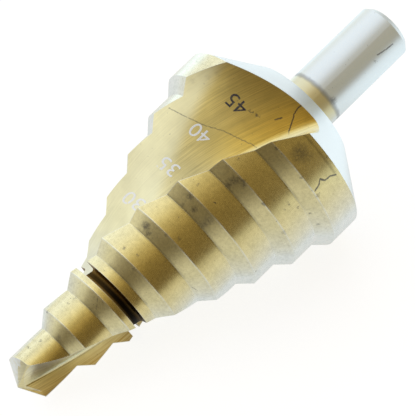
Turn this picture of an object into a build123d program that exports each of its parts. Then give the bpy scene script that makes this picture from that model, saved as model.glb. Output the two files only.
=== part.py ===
"""Two-flute spiral step drill for sheet metal, ground from one bar, lying as it comes to rest.

The drill is modelled upright, its point at the bottom on the Z axis, then laid down: it touches the
ground along one flute, and the origin is under the middle of the drill. Lengths are millimetres.
"""
from build123d import *
import math
import os

import numpy
from scipy.spatial import ConvexHull

# Steps: each is a short cylinder entered over a cone
STEP_COUNT = 8
FIRST_STEP_D = 10.0
STEP_RISE_D = 5.0
FIRST_LAND_L = 8.5
LAND_L = 5.5
LAST_LAND_L = 6.4
RAMP_L = 2.7

# Split point: each flank recedes behind its lip, and a gash thins the web at the centre
POINT_ANGLE = 128.0
FLANK_RELIEF = 12.0
GASH_WALL_FROM_AXIS = 0.12
GASH_TURN = 15.0
GASH_RISE = 35.0
GASH_SIDE_RISE = 42.0

# Relief groove turned round one of the steps, the first step being number 0
GROOVED_STEP_INDEX = 2
GROOVE_START = 1.25
GROOVE_W = 2.2
GROOVE_DEPTH = 2.35
GROOVE_CORNER_R = 0.5

# Bevelled back of the cone and plain round shank
BACK_BEVEL_L = 7.8
BACK_FACE_D = 24.2
SHANK_D = 12.0
SHANK_L = 25.0
SHANK_CHAMFER = 1.0

# Flutes: helical notches with a flat rake face and a flat floor, wider and deeper towards the shank.
# The rake face climbs ever more slowly, and over the first millimetres the floor leans further out.
FLUTE_COUNT = 2
TURN_PER_MM = 1.46
FLOOR_FROM_AXIS = 0.7
FLOOR_CLIMB = 0.222
RAKE_FROM_AXIS = -0.72
RAKE_CLIMB = 0.1232
RAKE_EASE = 0.000805
FLOOR_TILT = 11.0
FLOOR_TILT_DROP = 0.13
TIP_TILT = 34.0
TIP_TILT_L = 14.0
CORNER_R = 0.3
CORNER_R_CLIMB = 0.042
FLUTE_SECTIONS = 12
SECTION_SPREAD = 1.4


def step_radius(index):
    return (FIRST_STEP_D + index * STEP_RISE_D) / 2


def point_length():
    return step_radius(0) / math.tan(math.radians(POINT_ANGLE / 2))


def step_start(index):
    """Height of the front corner of a step above the tip."""
    if index == 0:
        return point_length()
    return point_length() + FIRST_LAND_L + RAMP_L + (index - 1) * (LAND_L + RAMP_L)


def step_end(index):
    """Height of the back corner of a step above the tip."""
    if index == 0:
        return step_start(index) + FIRST_LAND_L
    if index == STEP_COUNT - 1:
        return step_start(index) + LAST_LAND_L
    return step_start(index) + LAND_L


def back_height():
    return step_end(STEP_COUNT - 1) + BACK_BEVEL_L


def shank_end():
    return back_height() + SHANK_L


def stepped_blank():
    """Turned blank: point, steps, bevelled back, shank."""
    outline = [(0, 0)]
    for index in range(STEP_COUNT):
        outline += [(step_radius(index), step_start(index)), (step_radius(index), step_end(index))]
    outline += [(BACK_FACE_D / 2, back_height()), (SHANK_D / 2, back_height())]
    outline += [(SHANK_D / 2, shank_end() - SHANK_CHAMFER)]
    outline += [(SHANK_D / 2 - SHANK_CHAMFER, shank_end()), (0, shank_end())]
    return revolve(make_face(Plane.XZ * Polyline(*outline, close=True)), Axis.Z)


def relief_groove():
    """Ring that the groove tool takes out of the grooved step."""
    radius = step_radius(GROOVED_STEP_INDEX)
    middle = step_start(GROOVED_STEP_INDEX) + GROOVE_START + GROOVE_W / 2
    section = Plane.XZ * Pos(radius, middle) * Rectangle(2 * GROOVE_DEPTH, GROOVE_W)
    floor = section.vertices().group_by(Axis.X)[0]
    return revolve(fillet(floor, GROOVE_CORNER_R), Axis.Z)


def flute_turn(height):
    """Angle of the flute at a height, nought at the back of the last step."""
    return TURN_PER_MM * (height - step_end(STEP_COUNT - 1))


def floor_tilt(height):
    """Lean of the flute floor, which a shorter grind near the tip adds to."""
    near_tip = max(0.0, 1 - height / TIP_TILT_L)
    return FLOOR_TILT - FLOOR_TILT_DROP * height + TIP_TILT * near_tip**2


def flute_section(height, reach):
    """What one flute takes away at a height: a corner open to the outside."""
    floor = FLOOR_FROM_AXIS + FLOOR_CLIMB * height
    rake = RAKE_FROM_AXIS + RAKE_CLIMB * height - RAKE_EASE * height**2
    drop = reach * math.tan(math.radians(floor_tilt(height)))
    corners = [(floor, rake), (floor + reach, rake), (floor + reach, rake - reach)]
    corners.append((floor - drop, rake - reach))
    section = make_face(Polyline(*corners, close=True))
    inner = section.vertices().sort_by_distance((floor, rake, 0))[0]
    section = fillet(inner, CORNER_R + CORNER_R_CLIMB * height)
    return Pos(0, 0, height) * Rot(0, 0, flute_turn(height)) * section


def flute_cutter():
    """Notch of one flute, lofted up the helix from below the tip to above the bevel, closest at the tip."""
    reach = 2 * step_radius(STEP_COUNT - 1)
    low, high = -1.0, back_height() + 1.0
    shares = [(i / (FLUTE_SECTIONS - 1)) ** SECTION_SPREAD for i in range(FLUTE_SECTIONS)]
    return loft([flute_section(low + share * (high - low), reach) for share in shares])


def flank_cutter():
    """What the point grind takes off behind the first lip: the outside of a cone tipped about the lip."""
    reach = 3 * step_radius(0)
    rise = reach / math.tan(math.radians(POINT_ANGLE / 2))
    outside = [(0, 0), (reach, rise), (reach, -reach), (0, -reach)]
    grind = revolve(make_face(Plane.XZ * Polyline(*outside, close=True)), Axis.Z)
    side = Pos(0, reach, 0) * Box(4 * reach, 2 * reach, 4 * reach)
    return (Rot(FLANK_RELIEF, 0, 0) * grind) & side


def gash_cutter():
    """Notch ground beside the first lip down to the centre, rising away from the tip."""
    reach = 3 * step_radius(0)
    along = Vector(0, -math.cos(math.radians(GASH_RISE)), math.sin(math.radians(GASH_RISE)))
    across = Vector(math.cos(math.radians(GASH_SIDE_RISE)), 0, math.sin(math.radians(GASH_SIDE_RISE)))
    floor = Plane((0, 0, 0), x_dir=along, z_dir=along.cross(across))
    wedge = Rot(0, 0, -GASH_TURN) * (floor * Pos(0, 0, -reach) * Box(4 * reach, 4 * reach, 2 * reach))
    side = Pos(0, -GASH_WALL_FROM_AXIS - reach, 0) * Box(4 * reach, 2 * reach, 4 * reach)
    return wedge & side


def upright_drill():
    drill = stepped_blank() - relief_groove()
    lip = Rot(0, 0, flute_turn(0))
    for index in range(FLUTE_COUNT):
        turn = Rot(0, 0, index * 360 / FLUTE_COUNT)
        drill -= turn * flute_cutter()
        drill -= turn * lip * flank_cutter()
        drill -= turn * lip * gash_cutter()
    return drill


def resting_pose(body):
    """Frame that sets a body down on the face of its hull nearest its centre of mass."""
    corners, _ = body.tessellate(0.02, 0.1)
    hull = ConvexHull(numpy.array([tuple(corner) for corner in corners]))
    centre = numpy.array([*body.center(CenterOf.MASS), 1.0])
    face = hull.equations[numpy.argmax(hull.equations @ centre)]
    down = Vector(*face[:3])
    along = Vector(0, 0, 1) - down * down.Z
    foot = down * -face[3]
    return Plane(tuple(foot), x_dir=along, z_dir=-down)


def lay_down(body):
    """The body lying on the ground with the origin under its middle, shank towards +X."""
    lying = resting_pose(body).location.inverse() * body
    middle = lying.bounding_box().center()
    return Pos(-middle.X, -middle.Y, 0) * lying


os.makedirs("parts", exist_ok=True)
export_step(lay_down(upright_drill()), "parts/step_drill.step")
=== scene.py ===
"""Looks of the step drill: coating, grinding marks, step sizes, wear, floor, light and camera."""
import bpy
import math
from mathutils import Matrix, Vector


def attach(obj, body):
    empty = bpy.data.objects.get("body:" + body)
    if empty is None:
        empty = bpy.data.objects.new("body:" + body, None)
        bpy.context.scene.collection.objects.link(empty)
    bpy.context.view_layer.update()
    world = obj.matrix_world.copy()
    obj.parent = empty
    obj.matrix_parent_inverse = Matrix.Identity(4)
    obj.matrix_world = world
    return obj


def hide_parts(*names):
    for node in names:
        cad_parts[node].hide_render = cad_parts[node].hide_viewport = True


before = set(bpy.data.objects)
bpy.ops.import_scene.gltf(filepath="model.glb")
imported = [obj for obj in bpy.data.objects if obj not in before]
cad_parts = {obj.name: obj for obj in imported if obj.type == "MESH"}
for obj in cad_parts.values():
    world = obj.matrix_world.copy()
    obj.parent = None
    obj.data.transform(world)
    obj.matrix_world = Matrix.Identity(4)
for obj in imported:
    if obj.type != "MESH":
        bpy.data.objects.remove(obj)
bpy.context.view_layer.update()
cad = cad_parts["step_drill"]

# --- Where the drill lies ---------------------------------------------------
# Its own frame has the tip at the origin and Z along the axis to the shank
TIP = Vector((-0.0502367, 0.0, 0.005827))
SIDE = Vector((-0.181654, -0.608599, 0.772404))
ACROSS = Vector((0.139329, -0.793478, -0.592436))
AXIS = Vector((0.973442, 0.0, 0.228934))
drill_frame = Matrix((SIDE, ACROSS, AXIS)).transposed().to_4x4()
drill_frame.translation = TIP

# --- Sizes of the drill in its own frame, millimetres -------------------------
POINT_L = 2.439
FIRST_R, RISE_R = 5.0, 2.5
FIRST_LAND_L, LAND_L, LAST_LAND_L, RAMP_L = 8.5, 5.5, 6.4, 2.7
STEPS = 8
LAST_R = FIRST_R + RISE_R * (STEPS - 1)
GROOVE_LOW, GROOVE_HIGH, GROOVE_R, GROOVED_LAND_R = 23.09, 25.29, 7.65, 10.0
BEVEL_L, BACK_R, SHANK_R = 7.8, 12.1, 6.0
FLUTE_TURN = math.radians(1.46)         # per mm of height
FLUTE_STILL_Z = 69.24                   # height where the flute isn't turned
# Lines along the flute: the value at the tip, its change per mm of height and how that bends
FLOOR_LINE = (0.7, 0.222)               # the corner's distance from the axis along the floor's normal
RAKE_LINE = (-0.72, 0.1232, -0.000805)  # the corner's distance from the axis along the floor
FLOOR_TILT = (11.0, -0.13)              # degrees by which the floor leans

# --- Camera -----------------------------------------------------------------
# Fitted to the photograph in the drill's own frame, metres
CAMERA_AT = (0.3419, 0.0, -0.01974)
CAMERA_TILT = math.radians(11.58)
CAMERA_YAW = math.radians(-0.13)
CAMERA_ROLL = math.radians(0.17)
AXIS_IN_PICTURE = math.atan2(0.69550986, 0.71851655)
SENSOR_WIDTH = 36.0
FOCAL_PIXELS, PICTURE_PIXELS = 1799.0, 416.0


def add_camera():
    """A look across the drill, its axis slanting through the picture."""
    along = Vector((math.sin(CAMERA_TILT), 0, math.cos(CAMERA_TILT)))
    across = Vector((0, 1, 0))
    back = Vector((math.cos(CAMERA_TILT), 0, -math.sin(CAMERA_TILT)))
    across, back = (across * math.cos(CAMERA_YAW) - back * math.sin(CAMERA_YAW),
                    across * math.sin(CAMERA_YAW) + back * math.cos(CAMERA_YAW))
    along, across = (along * math.cos(CAMERA_ROLL) + across * math.sin(CAMERA_ROLL),
                     across * math.cos(CAMERA_ROLL) - along * math.sin(CAMERA_ROLL))
    right = along * math.cos(AXIS_IN_PICTURE) + across * math.sin(AXIS_IN_PICTURE)
    up = along * math.sin(AXIS_IN_PICTURE) - across * math.cos(AXIS_IN_PICTURE)
    turn = drill_frame.to_3x3()
    axes = Matrix((turn @ right, turn @ up, turn @ back)).transposed()
    data = bpy.data.cameras.new("camera")
    data.lens = SENSOR_WIDTH * FOCAL_PIXELS / PICTURE_PIXELS
    data.sensor_width = SENSOR_WIDTH
    data.clip_start, data.clip_end = 0.01, 20.0
    camera = bpy.data.objects.new("camera", data)
    bpy.context.collection.objects.link(camera)
    camera.matrix_world = Matrix.Translation(drill_frame @ Vector(CAMERA_AT)) @ axes.to_4x4()
    bpy.context.scene.camera = camera


# --- Node building ------------------------------------------------------------
class Nodes:
    """Adds shader nodes to one tree. An input is a number, a tuple or another node's output."""

    def __init__(self, tree):
        self.tree = tree
        tree.nodes.clear()

    def add(self, kind, inputs=(), **settings):
        node = self.tree.nodes.new(kind)
        for name, value in settings.items():
            setattr(node, name, value)
        for name, value in dict(inputs).items():
            socket = node.inputs[name]
            if isinstance(value, bpy.types.NodeSocket):
                self.tree.links.new(value, socket)
            else:
                socket.default_value = value
        return node

    def math(self, operation, *values, clamp=False):
        node = self.add("ShaderNodeMath", enumerate(values), operation=operation, use_clamp=clamp)
        return node.outputs[0]

    def vector(self, operation, *values, scale=None):
        inputs = dict(enumerate(values))
        if scale is not None:
            inputs["Scale"] = scale
        node = self.add("ShaderNodeVectorMath", inputs, operation=operation)
        flat = operation in ("DOT_PRODUCT", "LENGTH", "DISTANCE")
        return node.outputs["Value" if flat else "Vector"]

    def split(self, vector):
        return self.add("ShaderNodeSeparateXYZ", {0: vector}).outputs

    def join(self, x, y, z):
        return self.add("ShaderNodeCombineXYZ", {0: x, 1: y, 2: z}).outputs[0]

    def off_axis(self, x, y):
        return self.vector("LENGTH", self.join(x, y, 0.0))

    def normal(self):
        return self.add("ShaderNodeNewGeometry").outputs["Normal"]

    def noise(self, vector, scale, detail=2.0, roughness=0.5):
        return self.add("ShaderNodeTexNoise", {
            "Vector": vector, "Scale": scale, "Detail": detail, "Roughness": roughness}).outputs[0]

    def remap(self, value, low, high, to_low=0.0, to_high=1.0, soft=False):
        return self.add("ShaderNodeMapRange", {
            "Value": value, "From Min": low, "From Max": high, "To Min": to_low, "To Max": to_high},
            interpolation_type="SMOOTHSTEP" if soft else "LINEAR").outputs[0]

    def sway(self, noise, reach, middle=0.0):
        """Noise spread so far to both sides of a middle value."""
        return self.remap(noise, 0.3, 0.7, middle - reach, middle + reach)

    def ramp(self, value, stops):
        node = self.add("ShaderNodeValToRGB", {0: value})
        elements = node.color_ramp.elements
        while len(elements) < len(stops):
            elements.new(0.5)
        for element, (place, colour) in zip(elements, stops):
            element.position = place
            element.color = (*colour, 1.0)
        return node.outputs[0]

    def mix(self, factor, a, b):
        def full(c):
            return (*c, 1.0) if isinstance(c, tuple) and len(c) == 3 else c
        return self.add("ShaderNodeMix", {0: factor, 6: full(a), 7: full(b)},
                        data_type="RGBA").outputs[2]

    def emission(self, colour, strength=1.0):
        inputs = {"Color": (*colour, 1.0), "Strength": strength}
        return self.add("ShaderNodeEmission", inputs).outputs[0]

    def mix_shaders(self, factor, a, b):
        return self.add("ShaderNodeMixShader", {0: factor, 1: a, 2: b}).outputs[0]

    def place(self):
        """The point in the drill's own frame, in millimetres."""
        return self.add("ShaderNodeMapping", {
            "Vector": self.add("ShaderNodeTexCoord").outputs["Object"], "Location": TIP,
            "Rotation": drill_frame.to_euler(), "Scale": (0.001, 0.001, 0.001)},
            vector_type="TEXTURE").outputs[0]


def new_material(name):
    material = bpy.data.materials.new(name)
    material.use_nodes = True
    return material, Nodes(material.node_tree)


# --- Light ------------------------------------------------------------------
LIGHT_FROM = Vector((0.0, 0.55, 0.83)).normalized()
# Brightness against how nearly a direction points at the middle of the light
ROOM = (
    (0.00, (0.17, 0.13, 0.075)),
    (0.32, (0.26, 0.21, 0.13)),
    (0.61, (0.55, 0.50, 0.42)),
    (0.83, (0.98, 0.99, 1.02)),
    (0.93, (1.06, 1.08, 1.12)),
)
# Soft panels round the drill: degrees from -X towards -Y, degrees up, softness in degrees, brightness
PANELS = (
    ((-75.0, 2.0), (43.0, 64.0), 6.0, (0.52, 0.51, 0.47)),
    ((-42.0, 11.0), (21.0, 37.5), 4.0, (1.12, 1.14, 1.16)),
    ((-62.0, -21.0), (-20.0, 14.0), 4.0, (1.08, 1.07, 1.02)),
    ((-125.0, -62.0), (-20.0, 22.0), 6.0, (0.88, 0.85, 0.72)),
    ((50.0, 76.0), (43.0, 60.0), 7.0, (0.60, 0.48, 0.28)),
    ((108.0, 150.0), (8.0, 46.0), 7.0, (0.70, 0.63, 0.44)),
)
# The ground as the camera sees it: the share and strength of its own white over what is lit
OWN_WHITE_SHARE, OWN_WHITE = 0.6, 1.40
# The ground as the metal sees it, bright by the drill, colder under the shank, dim beyond the tip
GLOW_SHARE = 0.75
GLOW, GLOW_STRENGTH = (1.0, 0.99, 0.96), 0.90
COLD_GLOW, COLD_GLOW_STRENGTH = (0.92, 1.0, 1.04), 0.90 * 1.55
DIM_GROUND = (0.17, 0.14, 0.09)
# Where each fades in along x and y, metres
FROM_TIP, FROM_BEHIND = (-0.125, -0.05), (0.03, 0.09)
FROM_FRONT, UNDER_SHANK = (-0.45, -0.07), (0.035, 0.055)


def add_world():
    """A room lit from above and behind, with soft panels that only light and reflections see."""
    world = bpy.data.worlds.new("studio")
    bpy.context.scene.world = world
    world.use_nodes = True
    n = Nodes(world.node_tree)
    towards = n.add("ShaderNodeTexCoord").outputs["Generated"]
    room = n.ramp(n.vector("DOT_PRODUCT", towards, tuple(LIGHT_FROM)), ROOM)
    x, y, z = n.split(towards)
    minus_x, minus_y = n.math("MULTIPLY", x, -1.0), n.math("MULTIPLY", y, -1.0)
    turn = n.math("DEGREES", n.math("ARCTAN2", minus_y, minus_x))
    rise = n.math("DEGREES", n.math("ARCSINE", z))
    for turns, rises, soft, colour in PANELS:
        share = 1.0
        for value, (start, end) in ((turn, turns), (rise, rises)):
            share = n.math("MULTIPLY", share, n.remap(value, start - soft, start + soft, soft=True))
            share = n.math("MULTIPLY", share, n.remap(value, end + soft, end - soft, soft=True))
        room = n.mix(share, room, colour)
    seen = n.add("ShaderNodeLightPath").outputs["Is Camera Ray"]
    inputs = {"Color": n.mix(seen, room, (1.0, 1.0, 1.0)), "Strength": 1.0}
    n.add("ShaderNodeOutputWorld", {0: n.add("ShaderNodeBackground", inputs).outputs[0]})


def add_floor():
    """White ground. The camera sees a faint shadow on it, and the metal sees it end in the dark."""
    data = bpy.data.meshes.new("floor")
    side = 4.0
    corners = [(-side, -side, 0), (side, -side, 0), (side, side, 0), (-side, side, 0)]
    data.from_pydata(corners, [], [(0, 1, 2, 3)])
    floor = bpy.data.objects.new("floor", data)
    bpy.context.collection.objects.link(floor)
    material, n = new_material("floor")
    path = n.add("ShaderNodeLightPath")
    lit = n.add("ShaderNodeBsdfDiffuse", {"Color": (0.8, 0.8, 0.8, 1)}).outputs[0]
    in_camera = n.mix_shaders(OWN_WHITE_SHARE, lit, n.emission((1.0, 1.0, 1.0), OWN_WHITE))
    x, y = n.split(n.add("ShaderNodeNewGeometry").outputs["Position"])[:2]
    by_drill = n.math("MAXIMUM", n.remap(x, *FROM_TIP, soft=True), n.remap(y, *FROM_BEHIND, soft=True))
    by_drill = n.math("MULTIPLY", by_drill, n.remap(y, *FROM_FRONT, 0.3, 1.0))
    warm, cold = n.emission(GLOW, GLOW_STRENGTH), n.emission(COLD_GLOW, COLD_GLOW_STRENGTH)
    glow = n.mix_shaders(n.remap(x, *UNDER_SHANK, soft=True), warm, cold)
    in_metal = n.mix_shaders(by_drill, n.emission(DIM_GROUND), n.mix_shaders(GLOW_SHARE, lit, glow))
    unseen = n.mix_shaders(path.outputs["Is Glossy Ray"], lit, in_metal)
    shown = n.mix_shaders(path.outputs["Is Camera Ray"], unseen, in_camera)
    n.add("ShaderNodeOutputMaterial", {0: shown})
    data.materials.append(material)


# --- The drill's surfaces -------------------------------------------------------
def step_start(i):
    """The height where the land of step i begins."""
    return POINT_L + (FIRST_LAND_L + RAMP_L + (i - 1) * (LAND_L + RAMP_L) if i else 0.0)


def step_end(i):
    """The height where the land of step i ends."""
    return step_start(i) + (FIRST_LAND_L if i == 0 else LAST_LAND_L if i == STEPS - 1 else LAND_L)


# What a turned face's middle may be off its height and its radius, and its normal off the radius
HEIGHT_SLACK, RADIUS_SLACK, BEVEL_SLACK, TURNED_SLACK = 0.02, 0.2, 0.25, 0.13


def is_between(z, low, high):
    return low - HEIGHT_SLACK < z < high + HEIGHT_SLACK


def surface_at(point, normal):
    """Which finish a face has, from its corners' middle and its normal in the drill's own frame."""
    x, y, z = point
    r = math.hypot(x, y)
    outward = (normal.x * x + normal.y * y) / max(r, 0.1)
    around = (normal.y * x - normal.x * y) / max(r, 0.1)
    turned = abs(around) < TURNED_SLACK
    bevel_z = step_end(STEPS - 1)
    if z < POINT_L + 1.0 and normal.z < -0.8:
        return "flank"
    if z > bevel_z + HEIGHT_SLACK:
        bevel_r = LAST_R - (z - bevel_z) * (LAST_R - BACK_R) / BEVEL_L
        if z > bevel_z + BEVEL_L - 0.05:
            return "shank" if r < SHANK_R + 0.05 else "back"
        if turned and normal.z > 0.3 and abs(r - bevel_r) < BEVEL_SLACK:
            return "back"
        return "flute"
    if turned and is_between(z, GROOVE_LOW, GROOVE_HIGH) and r > GROOVE_R - 0.1 and outward > -0.1:
        return "groove" if r < GROOVED_LAND_R - 0.05 else "land"
    for i in range(STEPS):
        radius = FIRST_R + RISE_R * i
        on_land = turned and is_between(z, step_start(i), step_end(i))
        if on_land and outward > 0.98 and abs(r - radius) < RADIUS_SLACK:
            return "land"
        if i and turned and is_between(z, step_end(i - 1), step_start(i)) and outward > 0.6:
            ramp_r = radius - (step_start(i) - z) * RISE_R / RAMP_L
            if abs(r - ramp_r) < RADIUS_SLACK and normal.z < -0.5:
                return "ramp"
    return "flute"


# --- Coating ------------------------------------------------------------------
SQUARE_ON, DULL_SQUARE_ON = (0.78, 0.61, 0.19), (0.66, 0.60, 0.34)
SLANTED, DULL_SLANTED = (0.80, 0.73, 0.42), (0.70, 0.66, 0.40)
GRAZING = (0.90, 0.98, 1.0)
PAINTED_HIGHLIGHT = (0.96, 0.95, 0.66)
BARE_STEEL = (0.86, 0.92, 0.93)
BLASTED_BACK = (0.86, 0.93, 0.96), (0.90, 0.96, 0.98)
WARM_BACK = (0.80, 0.78, 0.70)
BARE_SHANK = (0.86, 0.95, 1.0), (0.91, 0.98, 1.0)
REGROUND_FLANK = (0.95, 1.0, 1.0)
SMUDGE = (0.10, 0.10, 0.11)
# In the flute, painted reflections: deep gold beside the corner, paler towards the heel, dark brown on
# the face near the point
REFLECTED_DEEP_GOLD, REFLECTED_HEEL_GOLD, REFLECTED_FACE_BROWN = (0.86, 0.60, 0.11), (0.97, 0.96, 0.68), (0.50, 0.33, 0.09)
HEEL_LINE = (-22.0, 0.62)    # how far from the corner the painted paler reflection begins, as the lines above
# The groove's coat in painted shade
GROOVE_WALL_SHADE = (0.33, 0.20, 0.05)
GROOVE_BOTTOM_SHADE, GROOVE_BOTTOM_LEFT_SHADE = (0.022, 0.016, 0.010), (0.065, 0.036, 0.006)
WORN_EDGE = 0.0003           # how far a worn edge is rounded, metres


def between(a, b, share):
    return tuple(x + (y - x) * share for x, y in zip(a, b))


def coating(n, dull=0.0, lit=0.4):
    """The gold coat's colour, with a painted sheen that pales it at a grazing view and a painted
    highlight where light falls squarely.
    """
    # Painted sheen: the colour pales as the view grazes the surface
    facing = n.add("ShaderNodeLayerWeight", {"Blend": 0.5}).outputs["Facing"]
    square, slanted = between(SQUARE_ON, DULL_SQUARE_ON, dull), between(SLANTED, DULL_SLANTED, dull)
    colour = n.ramp(facing, (
        (0.0, square), (0.30, slanted), (0.50, between(slanted, GRAZING, 0.42)),
        (0.66, between(slanted, GRAZING, 0.9)), (0.83, GRAZING)))
    # Painted highlight: paler where the surface faces the light
    squarely = n.vector("DOT_PRODUCT", n.normal(), tuple(LIGHT_FROM))
    return n.mix(n.remap(squarely, 0.45, 0.88, 0.0, lit, soft=True), colour, PAINTED_HIGHLIGHT)


def edge_wear(n, most):
    """How worn the edges are: the rounded normal against the true one."""
    rounded = n.add("ShaderNodeBevel", {"Radius": WORN_EDGE}, samples=8).outputs[0]
    bend = n.math("SUBTRACT", 1.0, n.vector("DOT_PRODUCT", rounded, n.normal()))
    return n.remap(bend, 0.01, 0.12, 0.0, most)


def rippled(n, height, strength, distance):
    inputs = {"Strength": strength, "Distance": distance, "Height": height}
    return n.add("ShaderNodeBump", inputs).outputs[0]


def finish_material(n, colour, roughness, metallic=1.0, normal=None):
    inputs = {"Base Color": colour, "Roughness": roughness, "Metallic": metallic}
    if normal is not None:
        inputs["Normal"] = normal
    shader = n.add("ShaderNodeBsdfPrincipled", inputs).outputs[0]
    n.add("ShaderNodeOutputMaterial", {0: shader})


# --- Wear: millimetres in the drill's own frame -----------------------------------
# Point, radius, strength
LAND_SPOTS = (
    ((12.9, -4.9, 36.9), 1.0, 0.75), ((12.7, -3.7, 36.3), 0.7, 0.6), ((14.8, -1.1, 38.1), 0.45, 0.5),
    ((15.1, -3.0, 44.1), 0.5, 0.3), ((16.1, -0.9, 44.9), 0.7, 0.7), ((15.8, 2.4, 44.8), 0.5, 0.6),
    ((16.8, -3.2, 46.0), 0.9, 0.6), ((17.5, 0.9, 48.4), 0.35, 0.9), ((17.1, -3.7, 48.5), 0.35, 0.5),
    ((17.7, 0.3, 52.2), 0.6, 0.5), ((19.0, 0.5, 53.5), 0.6, 0.5), ((19.7, 1.7, 54.4), 0.6, 0.6),
    ((19.6, 2.4, 54.3), 0.5, 0.5), ((12.3, -2.2, 32.0), 0.4, 0.6), ((11.6, -4.8, 31.3), 0.4, 0.6),
    ((15.0, 1.1, 39.3), 0.35, 0.5), ((12.1, -0.7, 29.6), 0.45, 0.4), ((21.8, 5.4, 65.4), 2.0, 0.55),
    ((19.9, -1.9, 56.8), 0.4, 0.6), ((22.3, 3.3, 62.8), 0.35, 0.7), ((22.3, 1.7, 62.7), 0.35, 0.7),
    ((20.4, 9.4, 69.0), 0.35, 0.6), ((20.6, 8.7, 62.7), 0.35, 0.6), ((18.6, 7.3, 54.7), 0.35, 0.6),
    ((16.9, 10.7, 58.4), 0.35, 0.6), ((16.8, 10.9, 57.1), 0.35, 0.6), ((15.7, 12.3, 59.4), 0.35, 0.8),
    ((14.1, 14.9, 60.7), 0.35, 0.8), ((11.3, 17.5, 61.0), 0.35, 0.7), ((7.7, 16.2, 52.4), 0.35, 0.6),
    ((7.8, 15.7, 46.8), 0.35, 0.6), ((14.3, 13.9, 54.6), 0.7, 0.4), ((18.1, 13.3, 63.3), 0.5, 0.6),
    ((5.8, -4.8, 17.3), 0.4, 0.5), ((3.8, -6.3, 13.5), 0.4, 0.6), ((6.0, -4.6, 18.9), 0.4, 0.5),
    ((3.0, -4.0, 6.4), 0.45, 0.6), ((3.7, -3.3, 8.9), 0.4, 0.6), ((4.3, -2.5, 10.1), 0.3, 0.5),
    ((5.4, -1.3, 11.5), 0.8, 0.35), ((18.0, 0.4, 52.5), 0.9, 0.6), ((18.8, 0.4, 53.4), 1.0, 0.6),
    ((19.4, 0.9, 54.0), 0.8, 0.6), ((19.5, 2.3, 54.3), 0.7, 0.6), ((18.5, 7.3, 54.5), 0.5, 0.8),
    ((15.5, 2.4, 44.5), 1.0, 0.45), ((16.4, 2.5, 45.5), 1.0, 0.45), ((21.6, 6.9, 66.2), 1.2, 0.35),
)
FLUTE_SPOTS = (
    ((14.5, -6.8, 66.2), 0.3, 1.0), ((14.6, -6.3, 66.3), 0.25, 1.0), ((14.7, -5.4, 66.3), 0.3, 1.0),
    ((14.8, -4.9, 66.5), 0.3, 1.0),
    ((10.9, -18.5, 63.1), 0.7, 0.12), ((12.6, -16.9, 65.2), 0.7, 0.12),
    ((13.8, -16.1, 66.9), 0.7, 0.12),
)
SHANK_SPOTS = (((5.2, 3.0, 93.8), 0.35, 0.8), ((5.3, 2.8, 82.1), 0.9, 0.5))
# Points, half width, strength
LAND_SCRATCHES = (
    (((18.8, 12.3, 63.2), (19.0, 12.0, 64.5), (19.4, 11.4, 65.3), (18.9, 12.2, 66.0),
      (18.8, 12.3, 67.3), (18.4, 12.9, 68.4)), 0.24, 0.9),
    (((8.7, 9.2, 35.7), (7.8, 10.6, 36.2)), 0.12, 0.6),
    (((9.6, -1.5, 21.5), (8.3, -0.3, 20.0)), 0.12, 0.5),
)
FLUTE_SCRATCHES = (
    (((7.0, -18.1, 57.0), (8.7, -14.9, 57.7), (9.6, -13.1, 58.2), (10.6, -10.8, 58.8),
      (12.2, -7.6, 60.3), (13.5, -4.0, 61.3), (14.1, -2.2, 61.9), (14.4, -1.0, 62.1)), 0.15, 0.6),
    (((15.6, -2.3, 68.1), (15.9, -1.7, 69.2)), 0.22, 0.9),
    (((16.9, -0.8, 73.2), (16.7, -0.9, 72.4), (16.4, -0.6, 71.3), (16.1, 0.15, 70.2),
      (15.9, 0.7, 69.0), (15.7, 1.5, 67.8)), 0.19, 0.95),
)
SHANK_SCRATCHES = ((((5.5, 2.5, 94.9), (5.3, 2.9, 97.0), (5.2, 3.1, 98.8)), 0.2, 0.8),)


def wander(n, at, reach, scale):
    """The point shifted a little this way and that, so what follows it is uneven."""
    swirl = n.add("ShaderNodeTexNoise", {"Vector": at, "Scale": scale, "Detail": 2.0}).outputs["Color"]
    shift = n.vector("SUBTRACT", swirl, (0.5, 0.5, 0.5))
    return n.vector("ADD", at, n.vector("SCALE", shift, scale=reach))


def spots(n, at, marks):
    """How dark the round smudges are at a point."""
    torn = n.remap(n.noise(at, 2.6, 3.0, 0.6), 0.38, 0.52, 0.4, 1.0)
    at = wander(n, at, 1.3, 1.9)
    share = 0.0
    for point, radius, strength in marks:
        away = n.vector("DISTANCE", at, point)
        share = n.math("MAXIMUM", share, n.remap(away, radius * 1.15, radius * 0.3, 0.0, strength))
    return n.math("MULTIPLY", share, torn)


def scratches(n, at, lines):
    """How dark the scratches are at a point."""
    at = wander(n, at, 0.35, 1.8)
    share = 0.0
    for points, half_width, strength in lines:
        for start, end in zip(points, points[1:]):
            along = Vector(end) - Vector(start)
            offset = n.vector("SUBTRACT", at, start)
            travelled = n.vector("DOT_PRODUCT", offset, tuple(along))
            travelled = n.math("DIVIDE", travelled, along.length_squared, clamp=True)
            away = n.vector("DISTANCE", offset, n.vector("SCALE", tuple(along), scale=travelled))
            share = n.math("MAXIMUM", share, n.remap(away, half_width, half_width * 0.3, 0.0, strength))
    return share


def soiled(n, at, colour, marks, lines, speck_share):
    """The colour under smudges, scratches and sparse dark grains."""
    dirt = n.math("MAXIMUM", spots(n, at, marks), scratches(n, at, lines))
    specks = n.remap(n.noise(at, 1.9, 1.0), 0.74, 0.80, 0.0, speck_share)
    return n.mix(n.math("MAXIMUM", dirt, specks), colour, SMUDGE)


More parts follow.
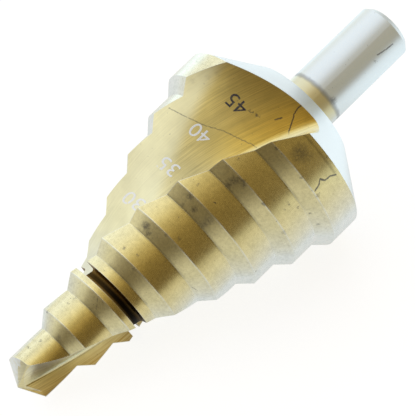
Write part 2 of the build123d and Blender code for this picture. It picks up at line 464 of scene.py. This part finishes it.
def turned_material(name, dull, roughness):
    """Coated steel turned round the axis: lands and ramps."""
    material, n = new_material(name)
    at = n.place()
    x, y, z = n.split(at)
    r = n.off_axis(x, y)
    around = n.math("MULTIPLY", n.math("ARCTAN2", y, x), r)
    ring_at = n.join(n.math("MULTIPLY", around, 0.06), 0.0, n.math("MULTIPLY", z, 3.0))
    rings = n.noise(ring_at, 1.0, 3.0)
    mottle = n.noise(at, 0.35, 3.0)
    grain = n.noise(at, 5.0, 2.0)
    leather = n.noise(at, 1.5, 2.0, 0.6)
    swirl = n.noise(wander(n, at, 1.2, 0.7), 1.6, 3.0, 0.6)
    shade = n.math("ADD", n.sway(mottle, 0.05), n.sway(grain, 0.08))
    shade = n.math("ADD", shade, n.sway(leather, 0.08))
    shade = n.math("ADD", shade, n.sway(swirl, 0.12 * dull))
    shade = n.math("ADD", shade, n.sway(rings, 0.04, 1.0))
    colour = n.vector("SCALE", coating(n, dull), scale=shade)
    # Distance along the axis from the nearest inner and outer corner, from the second step's on
    pitch = LAND_L + RAMP_L
    on_first = n.remap(z, 7.0, 7.1, 2.0, 0.0)
    to_inner = n.math("PINGPONG", n.math("SUBTRACT", z, step_end(1)), pitch / 2)
    to_inner = n.math("ADD", to_inner, on_first)
    to_outer = n.math("PINGPONG", n.math("SUBTRACT", z, step_start(1)), pitch / 2)
    to_outer = n.math("ADD", to_outer, on_first)
    # Painted shade: a dark line in the inner corners, which fades out to both sides
    sideways = n.math("DIVIDE", y, r)
    to_inner = n.math("ADD", to_inner, n.remap(sideways, -0.45, -0.70))
    to_inner = n.math("ADD", to_inner, n.remap(sideways, 0.55, 0.80))
    colour = n.vector("SCALE", colour, scale=n.remap(to_inner, 0.05, 0.4, 0.72, 1.0))
    worn = n.remap(to_outer, 0.22, 0.04, 0.0, 0.45)
    worn = n.math("MULTIPLY", worn, n.remap(mottle, 0.35, 0.6, 0.4, 1.0))
    worn = n.math("MAXIMUM", worn, edge_wear(n, 0.45))
    colour = n.mix(worn, colour, BARE_STEEL)
    colour = soiled(n, at, colour, LAND_SPOTS, LAND_SCRATCHES, 0.5)
    finish_material(n, colour, n.sway(grain, 0.03, roughness), normal=rippled(n, rings, 0.25, 0.00002))
    return material


def flute_coordinates(n, at):
    """Distance from the corner across the floor and up the face, and height, in either flute."""
    x, y, z = n.split(at)
    turn = n.math("MULTIPLY", n.math("SUBTRACT", z, FLUTE_STILL_Z), FLUTE_TURN)
    c, s = n.math("COSINE", turn), n.math("SINE", turn)
    across = n.math("ADD", n.math("MULTIPLY", x, c), n.math("MULTIPLY", y, s))
    up = n.math("SUBTRACT", n.math("MULTIPLY", y, c), n.math("MULTIPLY", x, s))
    side = n.math("SIGN", across)
    across, up = n.math("MULTIPLY", across, side), n.math("MULTIPLY", up, side)
    level, climb, ease = RAKE_LINE
    corner = n.math("MULTIPLY_ADD", z, n.math("MULTIPLY_ADD", z, ease, climb), level)
    floor = n.math("MULTIPLY_ADD", z, FLOOR_LINE[1], FLOOR_LINE[0])
    return n.math("SUBTRACT", corner, up), n.math("SUBTRACT", across, floor), z


def flute_material(name, roughness):
    """Coated steel ground along the helix."""
    material, n = new_material(name)
    at = n.place()
    from_corner, up_face, z = flute_coordinates(n, at)
    across = n.math("SUBTRACT", from_corner, up_face)
    line_at = n.join(n.math("MULTIPLY", across, 3.2), n.math("MULTIPLY", z, 0.07), 0.0)
    lines = n.noise(line_at, 1.0, 3.0, 0.65)
    fine_at = n.join(n.math("MULTIPLY", across, 8.0), n.math("MULTIPLY", z, 0.12), 4.0)
    fine = n.noise(fine_at, 1.0, 2.0, 0.6)
    mottle = n.noise(at, 0.3, 2.0)
    # Painted reflection: deep gold beside the corner, higher up the flute
    deep_gold_reflection = n.remap(from_corner, 11.0, 4.0, soft=True)
    deep_gold_reflection = n.math("MULTIPLY", deep_gold_reflection, n.remap(from_corner, 1.9, 3.0, soft=True))
    deep_gold_reflection = n.math("MULTIPLY", deep_gold_reflection, n.remap(z, 50.0, 64.0, soft=True))
    colour = n.mix(n.math("MULTIPLY", deep_gold_reflection, 0.75), coating(n, lit=0.15), REFLECTED_DEEP_GOLD)
    # Painted reflection: paler towards the heel beyond a slanting line
    heel_begins = n.math("MULTIPLY_ADD", z, HEEL_LINE[1], HEEL_LINE[0])
    heel_reflection = n.remap(n.math("SUBTRACT", from_corner, heel_begins), -1.6, 1.8, soft=True)
    heel_reflection = n.math("MULTIPLY", heel_reflection, n.remap(z, 6.0, 16.0, 0.1, 0.55))
    colour = n.mix(heel_reflection, colour, REFLECTED_HEEL_GOLD)
    # Painted reflection: dark brown on the cutting face near the point, streaked by the grinding lines
    face = n.math("MULTIPLY", n.remap(from_corner, 0.5, 0.2), n.remap(up_face, 0.4, 3.0))
    face = n.math("MULTIPLY", face, n.remap(z, 34.0, 24.0))
    dark_face_reflection = n.math("MULTIPLY", face, n.remap(lines, 0.35, 0.6, 1.0, 0.45))
    colour = n.mix(dark_face_reflection, colour, REFLECTED_FACE_BROWN)
    shade = n.math("ADD", n.remap(lines, 0.3, 0.7, -0.13, 0.12), n.sway(fine, 0.12))
    shade = n.math("MULTIPLY", shade, n.remap(heel_reflection, 0.1, 0.55, 1.0, 0.3))
    shade = n.math("ADD", n.math("ADD", shade, 1.0), n.sway(mottle, 0.05))
    colour = n.vector("SCALE", colour, scale=shade)
    colour = n.mix(edge_wear(n, 0.7), colour, BARE_STEEL)
    colour = soiled(n, at, colour, FLUTE_SPOTS, FLUTE_SCRATCHES, 0.35)
    finish_material(n, colour, roughness, normal=rippled(n, lines, 0.3, 0.00003))
    return material


def flank_material(name):
    """Point flanks, reground, so the coat is nearly gone."""
    material, n = new_material(name)
    at = n.place()
    mottle = n.noise(at, 1.2, 3.0)
    colour = n.mix(n.remap(mottle, 0.45, 0.75, 0.0, 0.4), REGROUND_FLANK, SLANTED)
    finish_material(n, colour, 0.35, metallic=0.85)
    return material


def back_material(name):
    """Bright blasted bevel at the back of the cone, a little warmer at the shank."""
    material, n = new_material(name)
    at = n.place()
    x, y = n.split(at)[:2]
    blast = n.noise(at, 4.0, 3.0)
    colour = n.mix(n.remap(blast, 0.3, 0.7), *BLASTED_BACK)
    colour = n.mix(n.remap(n.off_axis(x, y), 9.0, 6.2, 0.0, 0.35, soft=True), colour, WARM_BACK)
    finish_material(n, colour, 0.35, metallic=0.85)
    return material


def shank_material(name):
    """Bare shank with the coat's overspray at its root and a dark seam where that ends."""
    material, n = new_material(name)
    at = n.place()
    z = n.split(wander(n, at, 0.5, 0.8))[2]
    blast = n.noise(at, 4.0, 3.0)
    colour = n.mix(n.remap(blast, 0.3, 0.7), *BARE_SHANK)
    # The overspray thins out over the last of these heights, with the seam across its end
    colour = n.mix(n.remap(z, 81.7, 81.0, 0.0, 0.85), colour, coating(n, 0.2))
    seam = n.math("MULTIPLY", n.remap(z, 80.8, 81.3), n.remap(z, 82.2, 81.7))
    colour = n.mix(n.math("MULTIPLY", seam, 0.45), colour, SMUDGE)
    colour = soiled(n, at, colour, SHANK_SPOTS, SHANK_SCRATCHES, 0.3)
    finish_material(n, colour, 0.40, metallic=0.7)
    return material


def groove_material(name):
    """Deep groove, its coat in painted shade: brown on its walls and beside them, nearly black at the
    bottom.
    """
    material, n = new_material(name)
    at = n.place()
    x, y, z = n.split(at)
    grain = n.noise(at, 4.0, 2.0)
    # Painted shade at the bottom, less dark towards -y
    bottom = n.mix(n.remap(y, -6.5, 0.0), GROOVE_BOTTOM_LEFT_SHADE, GROOVE_BOTTOM_SHADE)
    # Painted shade, browner beside the walls, which stand at GROOVE_LOW and GROOVE_HIGH
    beside = n.math("MAXIMUM", n.remap(z, 23.9, 23.35), n.remap(z, 24.5, 25.3, 0.0, 0.8))
    wall = n.remap(n.off_axis(x, y), 7.8, 9.9)
    colour = n.mix(n.math("MAXIMUM", beside, wall), bottom, GROOVE_WALL_SHADE)
    # Painted shade: darker towards the ground's side
    colour = n.vector("SCALE", colour, scale=n.remap(y, 0.5, 5.0, 1.0, 0.3, soft=True))
    colour = n.vector("SCALE", colour, scale=n.sway(grain, 0.1, 1.0))
    finish_material(n, colour, 0.45)
    return material


def add_drill():
    """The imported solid's mesh, its faces sorted by finish."""
    mesh = cad.data.copy()
    mesh.materials.clear()
    finishes = {
        "land": turned_material("coated_land", 0.0, 0.27),
        "ramp": turned_material("coated_ramp", 0.45, 0.32),
        "groove": groove_material("groove"),
        "flute": flute_material("coated_flute", 0.30),
        "flank": flank_material("flank"),
        "back": back_material("back"),
        "shank": shank_material("shank"),
    }
    for material in finishes.values():
        mesh.materials.append(material)
    order = list(finishes)
    into_drill = drill_frame.inverted()
    for face in mesh.polygons:
        point = into_drill @ face.center * 1000.0
        normal = into_drill.to_3x3() @ face.normal
        face.material_index = order.index(surface_at(point, normal))
    drill = bpy.data.objects.new("drill_body", mesh)
    bpy.context.collection.objects.link(drill)
    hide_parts("step_drill")
    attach(drill, "root")


# --- Step sizes etched in the flute ---------------------------------------------
FIGURE_SIZE, FIGURE_STRETCH, FIGURE_LIFT = 4.3, 0.87, 0.02
ETCHED_PALE, ETCHED_DARK = (0.93, 0.95, 0.98), (0.03, 0.03, 0.05)
# Text, distance across, height, colour, metallic
NUMBERS = (
    ("30", -10.1, 40.45, ETCHED_PALE, 1.0),
    ("35", -10.1, 49.2, ETCHED_PALE, 1.0),
    ("40", -10.4, 57.3, ETCHED_PALE, 1.0),
    ("45", -9.5, 65.5, ETCHED_DARK, 0.0),
)


def flute_floor(y, z):
    """The point just over the flute floor at this height and distance across, metres."""
    turn = FLUTE_TURN * (z - FLUTE_STILL_Z)
    c, s = math.cos(turn), math.sin(turn)
    corner_x = FLOOR_LINE[0] + FLOOR_LINE[1] * z
    corner_y = RAKE_LINE[0] + RAKE_LINE[1] * z + RAKE_LINE[2] * z * z
    lean = math.tan(math.radians(FLOOR_TILT[0] + FLOOR_TILT[1] * z))
    up = (y - (corner_x - corner_y * lean) * s) / (c + lean * s)
    out = corner_x - (corner_y - up) * lean + FIGURE_LIFT
    return Vector((out * c - up * s, y, z)) * 0.001


def add_number(text, y, z, colour, metallic):
    """Two etched figures, their tops towards the tip."""
    font = bpy.data.curves.new("figures", "FONT")
    font.body = text
    font.size = FIGURE_SIZE
    font.align_x, font.align_y = "CENTER", "CENTER"
    font.resolution_u = 6
    holder = bpy.data.objects.new("figures", font)
    bpy.context.collection.objects.link(holder)
    bpy.context.view_layer.update()
    mesh = bpy.data.meshes.new_from_object(holder)
    bpy.data.objects.remove(holder)
    for vertex in mesh.vertices:
        right, top = vertex.co.x, vertex.co.y
        vertex.co = drill_frame @ flute_floor(y - right, z - top * FIGURE_STRETCH)
    material, n = new_material("etched_" + text)
    at = n.place()
    worn = n.remap(n.noise(at, 3.0, 3.0), 0.45, 0.75, 0.0, 0.3)
    finish_material(n, n.mix(worn, colour, SLANTED), 0.45, metallic=metallic)
    mesh.materials.clear()
    mesh.materials.append(material)
    number = bpy.data.objects.new("mark_" + text, mesh)
    bpy.context.collection.objects.link(number)
    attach(number, "root")


add_camera()
add_world()
add_floor()
add_drill()
for number in NUMBERS:
    add_number(*number)

bpy.context.scene.view_settings.view_transform = "Standard"
